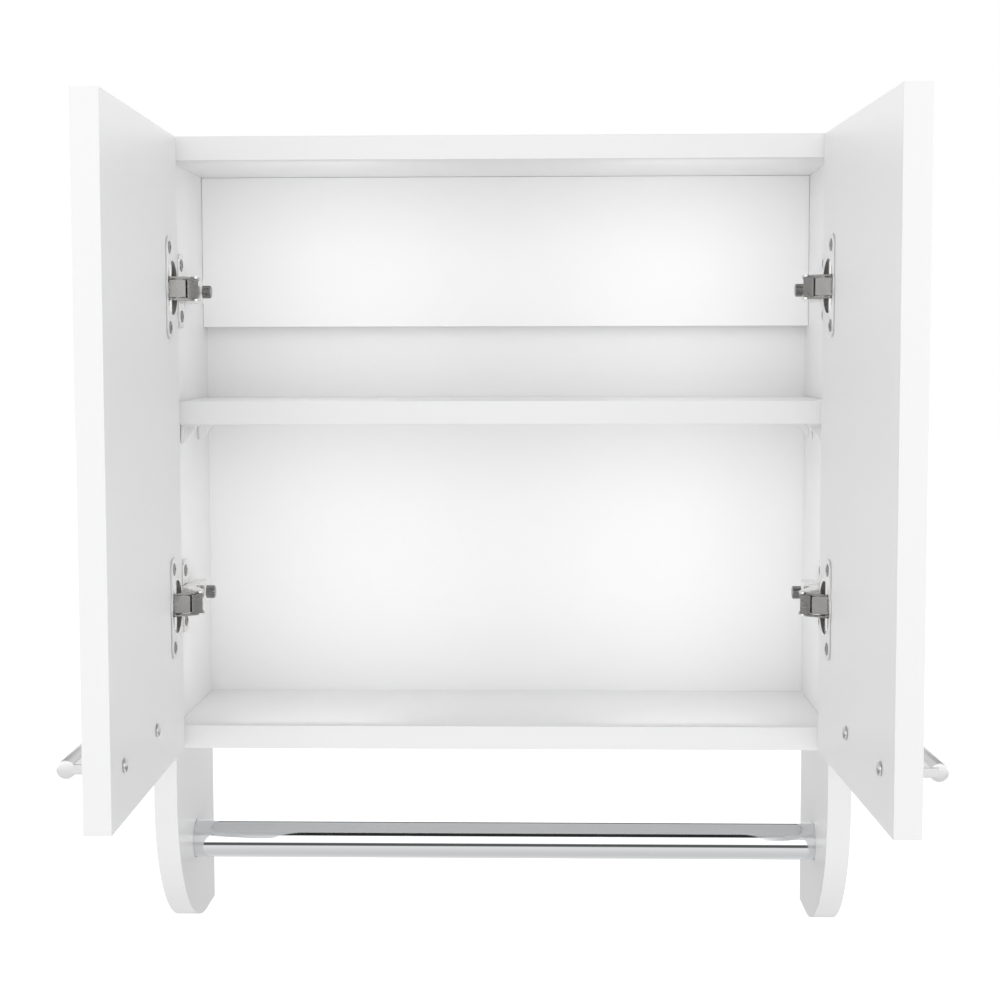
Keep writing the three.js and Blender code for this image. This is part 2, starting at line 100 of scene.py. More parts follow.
class Graph:
    # one node tree, emptied and then filled node by node
    def __init__(self, tree):
        self.tree = tree
        tree.nodes.clear()

    def add(self, kind, settings, sockets, output=0):
        node = self.tree.nodes.new(kind)
        for name, value in settings.items():
            if name == "stops":  # a ramp's (position, brightness) pairs
                elements = node.color_ramp.elements
                while len(elements) > 1:
                    elements.remove(elements[-1])
                for index, (position, shade) in enumerate(value):
                    element = elements.new(position) if index else elements[0]
                    element.position = position
                    element.color = grey(shade)
            else:
                setattr(node, name, value)
        for name, value in sockets.items():
            socket = node.inputs[name]
            if isinstance(value, Wire):
                self.tree.links.new(value.socket, socket)
            else:
                socket.default_value = value
        return Wire(self, node.outputs[output]) if node.outputs else node

    def noise(self, place, scale, detail, roughness=0.5):
        return self.add("ShaderNodeTexNoise", {}, {
            "Vector": place, "Scale": scale, "Detail": detail, "Roughness": roughness}, "Fac")

    def stretched(self, place, scales):
        return self.add("ShaderNodeMapping", {}, {"Vector": place, "Scale": scales})

    def blended(self, share, first, second):
        return self.add("ShaderNodeMix", {"data_type": "RGBA"}, {
            "Factor": share, 6: first, 7: second}, 2)

    def bump(self, height, depth, strength):
        return self.add("ShaderNodeBump", {}, {
            "Height": height, "Distance": depth, "Strength": strength})


def tinted(colour, factor):
    return tuple(min(1.0, part * factor) for part in colour) + (1,)


def grey(shade):
    return (shade, shade, shade, 1)


def newMaterial(name):
    material = bpy.data.materials.new(name)
    material.use_nodes = True
    graph = Graph(material.node_tree)
    place = graph.add("ShaderNodeTexCoord", {}, {}, "Object")
    return material, graph, place


def closeMaterial(graph, constants, varying):
    shader = graph.add("ShaderNodeBsdfPrincipled", {}, {**constants, **varying})
    graph.add("ShaderNodeOutputMaterial", {}, {"Surface": shader})


# Board faces: white melamine with a faint orange peel, cloudy gloss and rare hairline scuffs.
# Here and below a noise is given by its scale, its detail and, where it matters, its roughness.
laminate = {
    "colour": (0.86, 0.86, 0.864), "roughness": 0.36, "specular": 0.45,
    "clouds": (7, 3), "cloudTone": 0.012, "cloudGloss": 0.08,
    "peel": (900, 2), "peelDepth": 0.00001, "peelStrength": 0.35,
    "hairStretch": (60, 60, 900), "hairs": (1, 4, 0.6), "hairEdge": (0.72, 0.03),
    "patches": (18, 1), "patchEdge": (0.55, 0.08), "scuffTone": 0.3, "scuffGloss": 0.05,
}


def laminateMaterial(name, look):
    material, graph, place = newMaterial(name)
    clouds = graph.noise(place, *look["clouds"])
    peel = graph.noise(place, *look["peel"])
    hairs = graph.noise(graph.stretched(place, look["hairStretch"]), *look["hairs"])
    patches = graph.noise(place, *look["patches"])
    scuffs = hairs.above(*look["hairEdge"]) * patches.above(*look["patchEdge"])
    colour = graph.blended(clouds + scuffs * look["scuffTone"],
                           tinted(look["colour"], 1 - look["cloudTone"]),
                           tinted(look["colour"], 1 + look["cloudTone"]))
    gloss = look["roughness"] + clouds * look["cloudGloss"] + scuffs * look["scuffGloss"]
    closeMaterial(graph, {"Specular IOR Level": look["specular"]}, {
        "Base Color": colour, "Roughness": gloss,
        "Normal": graph.bump(peel, look["peelDepth"], look["peelStrength"])})
    return material


# Back sheet: lacquered hardboard, whose pressed fibres print through the paint.
hardboard = {
    "colour": (0.86, 0.86, 0.86), "roughness": 0.5, "specular": 0.35,
    "clouds": (5, 2), "cloudShare": 0.5, "fibreShare": 0.5,
    "fibreStretch": (240, 240, 520), "fibres": (1, 4, 0.65), "fibreTone": 0.02,
    "fibreGloss": 0.12, "fibreDepth": 0.00003, "fibreStrength": 0.3,
}


def hardboardMaterial(name, look):
    material, graph, place = newMaterial(name)
    fibres = graph.noise(graph.stretched(place, look["fibreStretch"]), *look["fibres"])
    clouds = graph.noise(place, *look["clouds"])
    colour = graph.blended(fibres * look["fibreShare"] + clouds * look["cloudShare"],
                           tinted(look["colour"], 1 - look["fibreTone"]),
                           tinted(look["colour"], 1 + look["fibreTone"]))
    closeMaterial(graph, {"Specular IOR Level": look["specular"]}, {
        "Base Color": colour, "Roughness": look["roughness"] + fibres * look["fibreGloss"],
        "Normal": graph.bump(fibres, look["fibreDepth"], look["fibreStrength"])})
    return material


# Plated metals: drawn lines along one direction, and handling marks that dull the gloss.
metals = {
    "polishedChrome": {"colour": (0.74, 0.75, 0.76), "roughness": 0.035, "smudge": 0.05,
                       "lines": (3, 900, 900), "lineDepth": 0.0, "tone": 0.01},
    "brightNickel": {"colour": (0.80, 0.79, 0.77), "roughness": 0.14, "smudge": 0.14,
                     "lines": (500, 500, 60), "lineDepth": 0.000008, "tone": 0.06},
    # a slightly brighter copy of the nickel: painted light for the occluded hollow of the cup; its
    # rougher gloss is real
    "brightenedCupNickel": {"colour": (0.82, 0.815, 0.805), "roughness": 0.30, "smudge": 0.10,
                  "lines": (400, 400, 400), "lineDepth": 0.000006, "tone": 0.05},
    # a copy of the nickel darkened to 0.30: painted shade for the recessed links, the knob and the
    # hinge screws
    "shadeDarkenedNickel": {"colour": (0.30, 0.295, 0.29), "roughness": 0.22, "smudge": 0.12,
                   "lines": (120, 120, 1500), "lineDepth": 0.000010, "tone": 0.14},
    "zincPlate": {"colour": (0.72, 0.73, 0.74), "roughness": 0.26, "smudge": 0.16,
                  "lines": (700, 700, 700), "lineDepth": 0.00001, "tone": 0.10},
    "satinSilver": {"colour": (0.87, 0.87, 0.875), "roughness": 0.40, "smudge": 0.10,
                    "lines": (2600, 40, 2600), "lineDepth": 0.000006, "tone": 0.05},
}
plating = {"drawn": (1, 3, 0.6), "marks": (55, 4, 0.6), "printEdge": (0.56, 0.12),
           "lineShare": 0.6, "markShare": 0.4, "lineGloss": 0.4, "lineStrength": 0.5}


def metalMaterial(name, look):
    material, graph, place = newMaterial(name)
    lines = graph.noise(graph.stretched(place, look["lines"]), *plating["drawn"])
    marks = graph.noise(place, *plating["marks"])
    prints = marks.above(*plating["printEdge"])
    colour = graph.blended(lines * plating["lineShare"] + marks * plating["markShare"],
                           tinted(look["colour"], 1 - look["tone"]),
                           tinted(look["colour"], 1 + look["tone"]))
    gloss = (look["roughness"] + prints * look["smudge"]
             + lines * (look["roughness"] * plating["lineGloss"]))
    varying = {"Base Color": colour, "Roughness": gloss}
    if look["lineDepth"]:
        varying["Normal"] = graph.bump(lines, look["lineDepth"], plating["lineStrength"])
    closeMaterial(graph, {"Metallic": 1.0}, varying)
    return material


# Shelf supports: moulded nylon with a fine spark-eroded texture.
nylon = {
    "colour": (0.82, 0.82, 0.82), "roughness": 0.42, "index": 1.5,
    "grain": (1400, 3), "grainDepth": 0.00002, "grainStrength": 0.4, "grainGloss": 0.15,
    "flowStretch": (80, 80, 20), "flow": (1, 2), "flowTones": (0.97, 1.02),
}


def nylonMaterial(name, look):
    material, graph, place = newMaterial(name)
    grain = graph.noise(place, *look["grain"])
    flow = graph.noise(graph.stretched(place, look["flowStretch"]), *look["flow"])
    colour = graph.blended(flow, *(tinted(look["colour"], tone) for tone in look["flowTones"]))
    closeMaterial(graph, {"IOR": look["index"]}, {
        "Base Color": colour, "Roughness": look["roughness"] + grain * look["grainGloss"],
        "Normal": graph.bump(grain, look["grainDepth"], look["grainStrength"])})
    return material


materials = {
    "laminate": laminateMaterial("whiteLaminate", laminate),
    "hardboard": hardboardMaterial("whiteHardboard", hardboard),
    "nylon": nylonMaterial("whiteNylon", nylon),
    **{name: metalMaterial(name, look) for name, look in metals.items()},
}
print("materials ready:", len(materials))


def newObject(name, mesh):
    piece = bpy.data.objects.new(name, mesh)
    bpy.context.scene.collection.objects.link(piece)
    return piece


def plainMesh(piece):
    # what the modifiers make of a piece, as its own mesh
    evaluated = piece.evaluated_get(bpy.context.evaluated_depsgraph_get())
    mesh = bpy.data.meshes.new_from_object(evaluated)
    piece.modifiers.clear()
    piece.data = mesh
    return piece


sharpAbove = math.radians(32)


def rounded(piece, edge, segments):
    # softens the sharp edges, and lets the large faces rule the shading
    bevel = piece.modifiers.new("edges", "BEVEL")
    bevel.width, bevel.segments = edge, segments
    bevel.limit_method = "ANGLE"
    bevel.angle_limit = sharpAbove
    normals = piece.modifiers.new("normals", "WEIGHTED_NORMAL")
    normals.weight = 100
    return plainMesh(piece)


def finished(piece, body, finish, replaced=()):
    piece.data.materials.clear()
    piece.data.materials.append(materials[finish])
    if replaced:
        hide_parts(*replaced)
    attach(piece, body)


mergeWithin = 2e-6  # corners closer than this are one
flatWithin = math.radians(1)  # faces that meet at less are one
onAxis = 1e-7  # a ring this small is a single corner


def closed(build, name):
    # a mesh object from a bmesh, its doubles merged and its faces outwards
    bmesh.ops.remove_doubles(build, verts=build.verts, dist=mergeWithin)
    bmesh.ops.recalc_face_normals(build, faces=build.faces)
    return smooth(build, name)


def smooth(build, name):
    for face in build.faces:
        face.smooth = True
    mesh = bpy.data.meshes.new(name)
    build.to_mesh(mesh)
    build.free()
    return newObject(name, mesh)


def lathe(build, profile, segments, place=Matrix()):
    # turns (radius, height) points about the local Z axis
    rings = []
    for radius, height in profile:
        count = segments if radius > onAxis else 1
        turns = [2 * math.pi * index / segments for index in range(count)]
        ring = [Vector((radius * math.cos(turn), radius * math.sin(turn), height))
                for turn in turns]
        rings.append([build.verts.new(place @ point) for point in ring])
    for lower, upper in zip(rings, rings[1:]):
        for index in range(segments):
            after = (index + 1) % segments
            corners = [lower[index % len(lower)], lower[after % len(lower)],
                       upper[after % len(upper)], upper[index % len(upper)]]
            corners = list(dict.fromkeys(corners))
            if len(corners) > 2:
                build.faces.new(corners)


def dome(radius, height, base, steps=6):
    # a crown's profile, from its rim to its middle
    angles = [math.pi / 2 * step / steps for step in range(steps + 1)]
    return [(radius * math.cos(angle), base + height * math.sin(angle)) for angle in angles]


def prism(build, outline, low, high, place=Matrix(), taper=1.0):
    # an outline on the local XY plane, drawn out along Z
    bottom = [build.verts.new(place @ Vector((x * taper, y * taper, low))) for x, y in outline]
    upper = [build.verts.new(place @ Vector((x, y, high))) for x, y in outline]
    build.faces.new(bottom[::-1])
    build.faces.new(upper)
    for index, corner in enumerate(bottom):
        after = (index + 1) % len(bottom)
        build.faces.new((corner, bottom[after], upper[after], upper[index]))


def softened(node, edge, segments, finish, slotName):
    # a frame node's own shape with its sharp edges rounded
    build = bmesh.new()
    build.from_mesh(nodes[node].data)
    bmesh.ops.remove_doubles(build, verts=build.verts, dist=mergeWithin)
    bmesh.ops.dissolve_limit(build, angle_limit=flatWithin, verts=build.verts, edges=build.edges)
    piece = rounded(smooth(build, node + "_finished"), edge, segments)
    finished(piece, nodes[node]["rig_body"], finish, [node])


# Boards of the carcass and the doors, with eased laminate edges.
boards = {"edge": 0.0004, "doorEdge": 0.0007, "segments": 2,
          "sheetEdge": 0.0003, "sheetSegments": 1}

for node in ("top_panel", "bottom_panel", "hanging_rail", "shelf",
             "left_side_panel", "right_side_panel"):
    softened(node, boards["edge"], boards["segments"], "laminate", "white_laminate")
for side in sides:
    softened(side + "_door", boards["doorEdge"], boards["segments"], "laminate", "white_laminate")
softened("back_panel", boards["sheetEdge"], boards["sheetSegments"], "hardboard",
         "white_hardboard")
print("boards finished")


# Small stamped and moulded parts keep the frame's shape. Each has its eased edge, the edge's
# segments, its finish and its slot.
smallParts = {
    "support": (0.0004, 2, "nylon", "white_plastic"),
    "hanger_plate": (0.0003, 2, "zincPlate", "zinc_steel"),
    # the links take the darkened nickel copy, painted shade for their recess between the plates
    "outer_link": (0.0001, 1, "shadeDarkenedNickel", "nickel_steel"),
    "inner_link": (0.0001, 1, "shadeDarkenedNickel", "nickel_steel"),
    # the cup takes the brightened nickel copy, painted light for its hollow
    "hinge_cup": (0.0003, 2, "brightenedCupNickel", "nickel_steel"),
    "hinge_arm": (0.0001, 1, "brightNickel", "nickel_steel"),
    "hinge_plate": (0.0004, 2, "brightNickel", "nickel_steel"),
}

for node in nodes:
    for ending, choice in smallParts.items():
        if node.endswith(ending):
            softened(node, *choice)
print("small parts finished")


# Towel bar: polished tube with lightly broken ends.
towelBar = {"wall": 0.0012, "brokenEdge": 0.0002, "edgeSegments": 1, "segments": 128}


def makeTowelBar(look):
    low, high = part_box("towel_bar")
    radius, reach = (high.z - low.z) / 2, (high.x - low.x) / 2
    inner, edge = radius - look["wall"], look["brokenEdge"]
    profile = [(inner, -reach), (radius - edge, -reach), (radius, edge - reach),
               (radius, reach - edge), (radius - edge, reach), (inner, reach), (inner, -reach)]
    build = bmesh.new()
    along = Matrix.Translation((low + high) / 2) @ Matrix.Rotation(math.pi / 2, 4, "Y")
    lathe(build, profile, look["segments"], along)
    piece = rounded(closed(build, "towel_bar_tube"), edge / 2, look["edgeSegments"])
    finished(piece, "carcass", "polishedChrome", ["towel_bar"])


makeTowelBar(towelBar)
print("towel bar finished")


# Handle: a round bar with slightly domed ends, on two flat feet that run out to its ends.
handle = {"radius": 0.0052, "dome": 0.0007, "footThickness": 0.0056, "segments": 64,
          "footEdge": 0.0006, "edgeSegments": 3, "feetApart": 0.096}


def middleOf(node):
    return sum(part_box(node), Vector()) / 2


def handleScrews(side):
    return [f"{side}_handle_{end}_screw" for end in ("outer", "inner")]


def doorNormal(side):
    # the way a door's inner face looks, which is away from its handle
    first, second = (middleOf(node) for node in handleScrews(side))
    along = (second - first).normalized()
    normal = Vector((-along.y, along.x, 0))
    return normal if (first - middleOf(side + "_handle")).dot(normal) > 0 else -normal


def makeHandle(side, look):
    node = side + "_handle"
    fixings = [middleOf(screw) for screw in handleScrews(side)]
    along = (fixings[1] - fixings[0]).normalized()
    away = -doorNormal(side)
    corners = [vertex.co for vertex in nodes[node].data.vertices]

    def span(direction):
        places = [corner.dot(direction) for corner in corners]
        return min(places), max(places)

    ends, depth = span(along), span(away)
    line = depth[1] - look["radius"]  # how far out the bar's own axis runs
    centre = along * sum(ends) / 2 + away * line + Vector((0, 0, middleOf(node).z))
    turn = Matrix((along.cross(away), away, along)).transposed()
    if turn.determinant() < 0:
        turn = Matrix((away.cross(along), away, along)).transposed()
    place = Matrix.Translation(centre) @ turn.to_4x4()
    length = (ends[1] - ends[0]) / 2
    end = dome(look["radius"], look["dome"], length - look["dome"])
    build = bmesh.new()
    lathe(build, [(radius, -height) for radius, height in end[::-1]] + end, look["segments"], place)
    bar = closed(build, node + "_bar")
    build = bmesh.new()
    thick, wide = look["footThickness"] / 2, length - look["feetApart"] / 2
    outline = [(-thick, depth[0] - line), (thick, depth[0] - line), (thick, 0), (-thick, 0)]
    for fixing in fixings:
        offset = (fixing - centre).dot(along)
        prism(build, outline, offset - wide, offset + wide, place)
    feet = rounded(closed(build, node + "_feet"), look["footEdge"], look["edgeSegments"])
    finished(bar, side + "_door", "satinSilver", [node])
    finished(feet, side + "_door", "satinSilver")


for side in sides:
    makeHandle(side, handle)
print("handles finished")


def geometryTree(name, given):
    # a Geometry Nodes tree with named inputs, and the identifier of each
    tree = bpy.data.node_groups.new(name, "GeometryNodeTree")
    graph = Graph(tree)
    for way in ("INPUT", "OUTPUT"):
        tree.interface.new_socket("Geometry", in_out=way, socket_type="NodeSocketGeometry")
    identifiers = {}
    for label, kind in given.items():
        socket = tree.interface.new_socket(label, in_out="INPUT", socket_type=kind)
        identifiers[label] = socket.identifier
    return tree, graph, identifiers


def fastenerTree():
    # sets one fastener on every point, aimed along the point's own direction, turned at random
    tree, graph, identifiers = geometryTree("fasteners", {
        "Fastener": "NodeSocketObject", "Turn": "NodeSocketFloat", "Seed": "NodeSocketInt",
        "Finish": "NodeSocketMaterial"})

    def given(label):
        return graph.add("NodeGroupInput", {}, {}, label)

    shape = graph.add("GeometryNodeObjectInfo", {}, {"Object": given("Fastener")}, "Geometry")
    aim = graph.add("GeometryNodeInputNamedAttribute", {"data_type": "FLOAT_VECTOR"},
                    {"Name": "aim"})
    aimed = graph.add("FunctionNodeAlignRotationToVector", {"axis": "Z"}, {"Vector": aim})
    turn = graph.add("FunctionNodeRandomValue", {"data_type": "FLOAT"}, {
        2: 0.0, 3: given("Turn"), 8: given("Seed")}, 1)
    spin = graph.add("FunctionNodeAxisAngleToRotation", {}, {"Axis": (0, 0, 1), "Angle": turn})
    rotation = graph.add("FunctionNodeRotateRotation", {"rotation_space": "LOCAL"}, {
        "Rotation": aimed, "Rotate By": spin})
    placed = graph.add("GeometryNodeInstanceOnPoints", {}, {
        "Points": given("Geometry"), "Instance": shape, "Rotation": rotation})
    real = graph.add("GeometryNodeRealizeInstances", {}, {"Geometry": placed})
    done = graph.add("GeometryNodeSetMaterial", {}, {"Geometry": real, "Material": given("Finish")})
    graph.add("NodeGroupOutput", {}, {"Geometry": done})
    return tree, identifiers


fasteners, fastenerInputs = fastenerTree()


def cross(reach, width):
    # the driver recess of a cross-head screw
    r, w = reach, width / 2
    return [(r, -w), (r, w), (w, w), (w, r), (-w, r), (-w, w),
            (-r, w), (-r, -w), (-w, -w), (-w, -r), (w, -r), (w, -w)]


def polygon(radii):
    # one corner for each radius, evenly spaced round the axis
    turns = [2 * math.pi * index / len(radii) for index in range(len(radii))]
    return [(radius * math.cos(turn), radius * math.sin(turn))
            for radius, turn in zip(radii, turns)]


def makeFastener(name, profile, recess=None, depth=0, taper=0.7, segments=40):
    # a turned head whose seat is at height 0, with the driver's recess sunk in its face
    build = bmesh.new()
    lathe(build, profile, segments)
    head = closed(build, name)
    if recess:
        top = max(height for radius, height in profile)
        build = bmesh.new()
        prism(build, recess, top - depth, top + screws["cutterRise"], taper=taper)
        cutter = closed(build, name + "_recess")
        sunk = head.modifiers.new("recess", "BOOLEAN")
        sunk.operation, sunk.solver, sunk.object = "DIFFERENCE", "EXACT", cutter
        plainMesh(head)
        bpy.data.objects.remove(cutter)
    return rounded(head, screws["edge"], screws["edgeSegments"])


wholeTurn = 6.283  # radians


def fasten(name, shape, places, body, finish, turn=wholeTurn, seed=7, replaced=()):
    # one piece of like fasteners, at (place, direction) pairs
    mesh = bpy.data.meshes.new(name)
    mesh.from_pydata([place for place, aim in places], [], [])
    aims = mesh.attributes.new("aim", "FLOAT_VECTOR", "POINT")
    for index, (place, aim) in enumerate(places):
        aims.data[index].vector = aim
    piece = newObject(name, mesh)
    modifier = piece.modifiers.new("fasteners", "NODES")
    modifier.node_group = fasteners
    values = {"Fastener": shape, "Turn": turn, "Seed": seed, "Finish": materials[finish]}
    for label, value in values.items():
        modifier[fastenerInputs[label]] = value
    piece.data.update()
    plainMesh(piece)
    finished(piece, body, finish, replaced)


# Screws and nails: head and shank sizes, and the driver each one takes.
screws = {
    "countersunk": {"radius": 0.0040, "head": 0.0007, "neck": 0.0016, "neckShare": 0.45,
                    "rim": 0.0001, "reach": 0.0025, "width": 0.0012, "depth": 0.0011},
    "handleHead": {"radius": 0.0040, "head": 0.0018, "rim": 0.0004, "shank": 0.0020,
                   "length": 0.022, "point": 0.001, "pointShare": 0.7,
                   "reach": 0.0021, "width": 0.0010, "depth": 0.0013},
    "boardScrew": {"radius": 0.0048, "shank": 0.0034, "length": 0.048, "tip": 0.001,
                   "point": 0.004, "neck": 0.004, "rim": 0.001, "flats": 0.004, "depth": 0.0028},
    "nail": {"radius": 0.0011, "height": 0.00015, "shank": 0.0006, "spacing": 0.055,
             "inset": 0.0075, "segments": 10},
    "cutterRise": 0.001, "edge": 0.00012, "edgeSegments": 2,
}


def makeScrews(sizes):
    small, pan, board, nail = (sizes[kind] for kind in (
        "countersunk", "handleHead", "boardScrew", "nail"))
    shapes = {}
    profile = [(0, -small["neck"]), (small["radius"] * small["neckShare"], -small["neck"]),
               (small["radius"], 0)] + dome(small["radius"], small["head"], small["rim"])
    shapes["countersunk"] = makeFastener("countersunk", profile,
                                         cross(small["reach"], small["width"]), small["depth"])
    profile = [(0, -pan["length"]), (pan["shank"] * pan["pointShare"], -pan["length"]),
               (pan["shank"], pan["point"] - pan["length"]), (pan["shank"], 0), (pan["radius"], 0)]
    profile += dome(pan["radius"], pan["head"] - pan["rim"], pan["rim"])
    shapes["handleHead"] = makeFastener("handleHead", profile,
                                        cross(pan["reach"], pan["width"]), pan["depth"])
    profile = [(0, -board["length"]), (board["tip"], -board["length"]),
               (board["shank"], board["point"] - board["length"]),
               (board["shank"], -board["neck"]), (board["radius"], -board["rim"]),
               (board["radius"], 0), (0, 0)]
    hexagon = polygon([board["flats"] / math.sqrt(3)] * 6)
    shapes["boardScrew"] = makeFastener("boardScrew", profile, hexagon, board["depth"], 1.0)
    profile = [(0, -nail["shank"]), (nail["radius"], -nail["shank"])]
    profile += dome(nail["radius"], nail["height"], 0.0)
    shapes["nail"] = makeFastener("nail", profile, segments=nail["segments"])
    return shapes


shapes = makeScrews(screws)


def fastenCarcass():
    places, replaced = [], []
    for side, sign in sides.items():
        for end in ("top_front", "top_rear", "bottom_front", "bottom_rear"):
            node = f"{side}_{end}_screw"
            low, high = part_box(node)
            outer = high.x if sign > 0 else low.x
            places.append(((outer, (low.y + high.y) / 2, (low.z + high.z) / 2), (sign, 0, 0)))
            replaced.append(node)
    fasten("carcass_screws", shapes["boardScrew"], places, "carcass", "zincPlate",
           replaced=replaced)


def fastenHandle(side):
    inwards = doorNormal(side)
    places = []
    for node in handleScrews(side):
        level = max(vertex.co.dot(inwards) for vertex in nodes[node].data.vertices)
        middle = middleOf(node)
        seat = level - screws["handleHead"]["head"]
        places.append((middle + inwards * (seat - middle.dot(inwards)), inwards))
    fasten(side + "_handle_screws", shapes["handleHead"], places, side + "_door", "zincPlate",
           replaced=handleScrews(side))


def nailBack(nail):
    # rows of nails along the four edges of the back sheet
    low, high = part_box("back_panel")
    inset = Vector((nail["inset"], 0, nail["inset"]))
    corners = [low + inset, high - inset]
    places = []
    for along, across in ((0, 2), (2, 0)):
        run = corners[1][along] - corners[0][along]
        count = round(run / nail["spacing"])
        for corner in corners:
            for index in range(count):
                place = Vector((0, high.y, 0))
                place[along] = corners[0][along] + run * (index + 0.5) / count
                place[across] = corner[across]
                places.append((place, (0, 1, 0)))
    fasten("back_nails", shapes["nail"], places, "carcass", "zincPlate", turn=0.0)


fastenCarcass()
for side in sides:
    fastenHandle(side)
nailBack(screws["nail"])
print("screws and nails set")


# Concealed hinges. Plan coordinates run inwards from the side panel's inner face and back from
# its front edge; the third is the height above the hinge's middle. Link and cup places are drawn
# with the door shut, and turned to where the door stands at rest.
hinge = {
    "opening": {"left": 88.7, "right": 92.0},
    "sheet": 0.0008, "sheetEdge": 0.0003, "edgeSegments": 2, "webGap": 0.0013,
    "outer": {"pivot": (0.0184, -0.00964), "knee": (0.01342, -0.0095), "ratio": 0.655,
              "start": -0.12, "bend": 0.9, "end": 0.19, "half": 0.006},
    "inner": {"pivot": (0.01533, -0.00533), "knee": (0.00473, -0.01078), "ratio": 0.438,
              "lip": 0.003, "half": 0.0055},
    "cupPivot": (0.0014, -0.00406), "cupPin": (-0.00256, -0.00743),
    "flangeFace": -0.001, "flangeMiddle": 0.018, "flangeScrews": 0.0245,
    "plateFace": 0.0024, "plateMiddle": 0.028, "plateScrews": 0.0165,
    "armFace": 0.0124, "fixingScrew": 0.0225, "sideScrew": 0.0475,
    "knob": {"radius": 0.0042, "height": 0.0054, "teeth": 18, "groove": 0.0005,
             "segments": 32, "capRim": 0.0006, "capTop": 0.0009, "capRise": 0.0004,
             "capSeat": 0.0002},
}


def onPlan(side, height):
    # plan coordinates and height to the frame's own
    low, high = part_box(side + "_side_panel")
    inner = low.x if sides[side] > 0 else high.x
    return Matrix(((-sides[side], 0, 0, inner), (0, 1, 0, low.y), (0, 0, 1, height), (0, 0, 0, 1)))


def turnedBy(point, pivot, angle):
    du, dv = point[0] - pivot[0], point[1] - pivot[1]
    return (pivot[0] + math.cos(angle) * du - math.sin(angle) * dv,
            pivot[1] + math.sin(angle) * du + math.cos(angle) * dv)


def webOutline(points, near, far):
    # a strip along a bent line, between two distances to one side of it
    edges = []
    for distance in (near, far):
        line = []
        for index, point in enumerate(points):
            before, after = points[max(index - 1, 0)], points[min(index + 1, len(points) - 1)]
            run = Vector((after[0] - before[0], after[1] - before[1])).normalized()
            line.append((point[0] - run.y * distance, point[1] + run.x * distance))
        edges.append(line)
    return edges[0] + edges[1][::-1]


def between(first, second, share):
    return tuple(a + share * (b - a) for a, b in zip(first, second))


def bentSheet(name, link, points, near, opening, place):
    # a strip of bent sheet that belongs to a link, turned with it to its place at rest
    angle = link["ratio"] * opening
    line = [turnedBy(point, link["pivot"], angle) for point in points]
    build = bmesh.new()
    outline = webOutline(line, near, near + hinge["sheet"])
    prism(build, outline, -link["half"], link["half"], place)
    return rounded(closed(build, name), hinge["sheetEdge"], hinge["edgeSegments"])


def makeLinkWebs(side, name, opening, place):
    outer, inner = hinge["outer"], hinge["inner"]
    points = (between(outer["pivot"], outer["knee"], outer["start"]),
              between(outer["pivot"], outer["knee"], outer["bend"]),
              between(outer["knee"], hinge["cupPivot"], outer["end"]))
    web = bentSheet(name + "_outer_link_web", outer, points, hinge["webGap"], opening, place)
    # the webs and the lip take the darkened nickel copy, painted shade
    finished(web, side + "_outer_links", "shadeDarkenedNickel")

    knee, pin = Vector(inner["knee"]), Vector(hinge["cupPin"])
    reach = (knee - pin).normalized() * inner["lip"]
    points = (knee + reach, knee, knee - reach)
    near = hinge["webGap"] - hinge["sheet"]
    lip = bentSheet(name + "_inner_link_lip", inner, points, near, opening, place)
    finished(lip, side + "_inner_links", "shadeDarkenedNickel")


def makeKnob(name, look, place):
    # the knurled adjusting screw, which stands on the arm near its rear end
    radius, height, teeth = look["radius"], look["height"], look["teeth"]
    inwards = place @ Matrix(((0, 0, 1, hinge["armFace"]), (1, 0, 0, hinge["sideScrew"]),
                              (0, 1, 0, 0), (0, 0, 0, 1)))
    seat, top = height - look["capSeat"], height + look["capRise"]
    build = bmesh.new()
    prism(build, polygon([radius, radius - look["groove"]] * teeth), 0, height, inwards)
    lathe(build, [(0, seat), (radius - look["capRim"], seat), (radius - look["capTop"], top),
                  (0, top)], look["segments"], inwards)
    knob = closed(build, name + "_adjusting_screw")
    for face in knob.data.polygons:
        face.use_smooth = False
    # the knob takes the darkened nickel copy, painted shade
    finished(knob, "carcass", "shadeDarkenedNickel")


def fastenHinge(side, name, opening, place):
    inward = place.to_3x3() @ Vector((1, 0, 0))
    spots = [(hinge["plateFace"], hinge["plateMiddle"], way * hinge["plateScrews"])
             for way in (-1, 1)]
    spots.append((hinge["armFace"], hinge["fixingScrew"], 0))
    places = [(place @ Vector(spot), inward) for spot in spots]
    # the plate and flange screws take the darkened nickel copy, painted shade
    fasten(name + "_plate_screws", shapes["countersunk"], places, "carcass", "shadeDarkenedNickel",
           seed=11)

    # the cup's flange has swung with the door, about the joint's own place
    joint = next(row for row in frame["joints"] if row["name"] == side + "_door_hinge")
    pivot = place @ Vector((*hinge["cupPivot"], 0))
    pivot.z = 0
    swing = Matrix.Rotation(sides[side] * opening, 4, "Z")
    swung = Matrix.Translation(joint["pos_m"]) @ swing @ Matrix.Translation(-pivot) @ place
    outward = swung.to_3x3() @ Vector((0, 1, 0))
    spots = [(hinge["flangeMiddle"], hinge["flangeFace"], way * hinge["flangeScrews"])
             for way in (-1, 1)]
    places = [(swung @ Vector(spot), outward) for spot in spots]
    fasten(name + "_flange_screws", shapes["countersunk"], places, side + "_door", "shadeDarkenedNickel",
           seed=3)


def makeHinge(side, level):
    name = f"{side}_{level}"
    place = onPlan(side, middleOf(name + "_hinge_plate").z)
    opening = math.radians(hinge["opening"][side])
    makeLinkWebs(side, name, opening, place)
    makeKnob(name, hinge["knob"], place)
    fastenHinge(side, name, opening, place)


for side in sides:
    for level in levels:
        makeHinge(side, level)
for shape in shapes.values():
    bpy.data.objects.remove(shape)
print("hinges finished")


